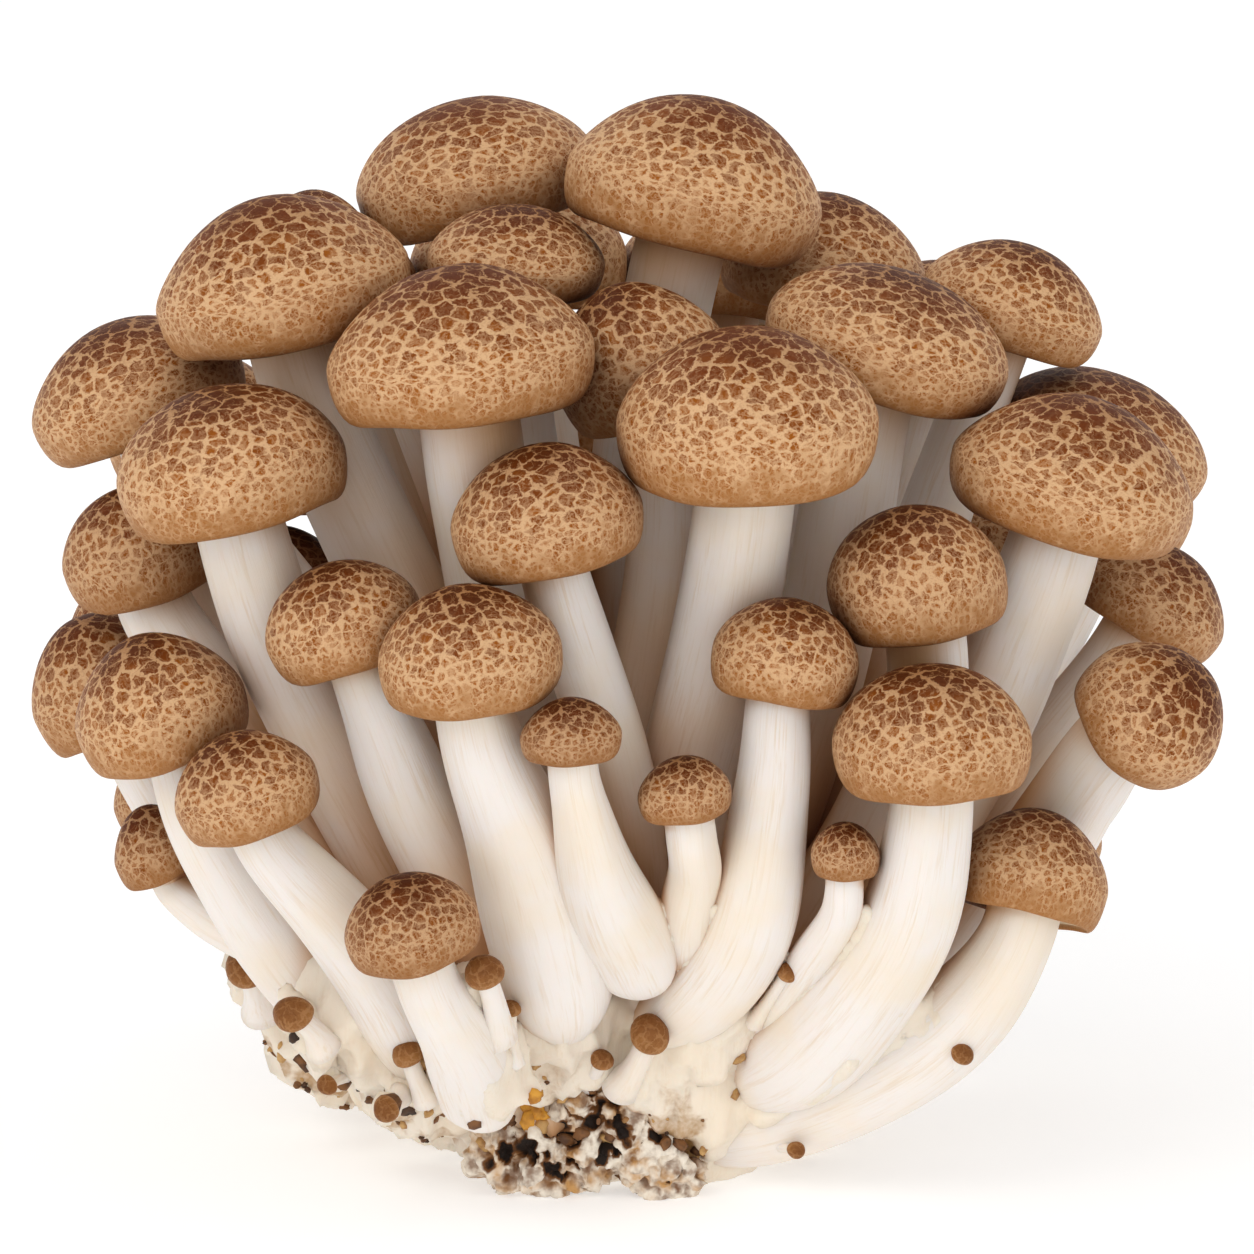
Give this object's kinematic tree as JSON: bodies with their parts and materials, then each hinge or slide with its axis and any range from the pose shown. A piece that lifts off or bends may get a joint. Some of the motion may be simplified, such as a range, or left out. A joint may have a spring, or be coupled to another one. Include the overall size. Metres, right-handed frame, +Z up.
{
  "type": "mushroom cluster",
  "caption": "Natural cluster of brown beech mushrooms: speckled domed caps on pale curved stems that fan out of one knotted root base with a flat cut underside.",
  "frame": {"origin": "middle of the root base's flat cut face, which the cluster stands on", "axes": "+Z up, along the growth; -Y towards the side with the lowest and nearest mushrooms; +X along the widest spread of the caps"},
  "size_m": [0.1181, 0.1085, 0.1053],
  "materials": {
    "cap_skin": "satin brown skin with darker patches and thin pale lines",
    "stem_flesh": "soft matte cream flesh with fine lengthwise fibres",
    "substrate": "rough crumbs of old growing medium bound by white threads"
  },
  "bodies": {
    "root": {"cap_01": "cap_skin", "cap_02": "cap_skin", "cap_03": "cap_skin", "cap_04": "cap_skin", "cap_05": "cap_skin", "cap_06": "cap_skin", "cap_07": "cap_skin", "cap_08": "cap_skin", "cap_09": "cap_skin", "cap_10": "cap_skin", "cap_11": "cap_skin", "cap_12": "cap_skin", "cap_13": "cap_skin", "cap_14": "cap_skin", "cap_15": "cap_skin", "cap_16": "cap_skin", "cap_17": "cap_skin", "cap_18": "cap_skin", "cap_19": "cap_skin", "cap_20": "cap_skin", "cap_21": "cap_skin", "cap_22": "cap_skin", "cap_23": "cap_skin", "cap_24": "cap_skin", "cap_25": "cap_skin", "cap_26": "cap_skin", "cap_27": "cap_skin", "cap_28": "cap_skin", "cap_29": "cap_skin", "cap_30": "cap_skin", "cap_31": "cap_skin", "cap_32": "cap_skin", "cap_33": "cap_skin", "cap_34": "cap_skin", "cap_35": "cap_skin", "cap_36": "cap_skin", "cap_37": "cap_skin", "cap_38": "cap_skin", "cap_39": "cap_skin", "cap_40": "cap_skin", "cap_41": "cap_skin", "cap_42": "cap_skin", "cap_43": "cap_skin", "cap_44": "cap_skin", "cap_45": "cap_skin", "cap_46": "cap_skin", "cap_47": "cap_skin", "cap_48": "cap_skin", "cap_49": "cap_skin", "cap_50": "cap_skin", "cap_51": "cap_skin", "cap_52": "cap_skin", "cap_53": "cap_skin", "cap_54": "cap_skin", "cap_55": "cap_skin", "stems_and_base": "stem_flesh", "substrate_plug": "substrate"}
  },
  "joints": []
}
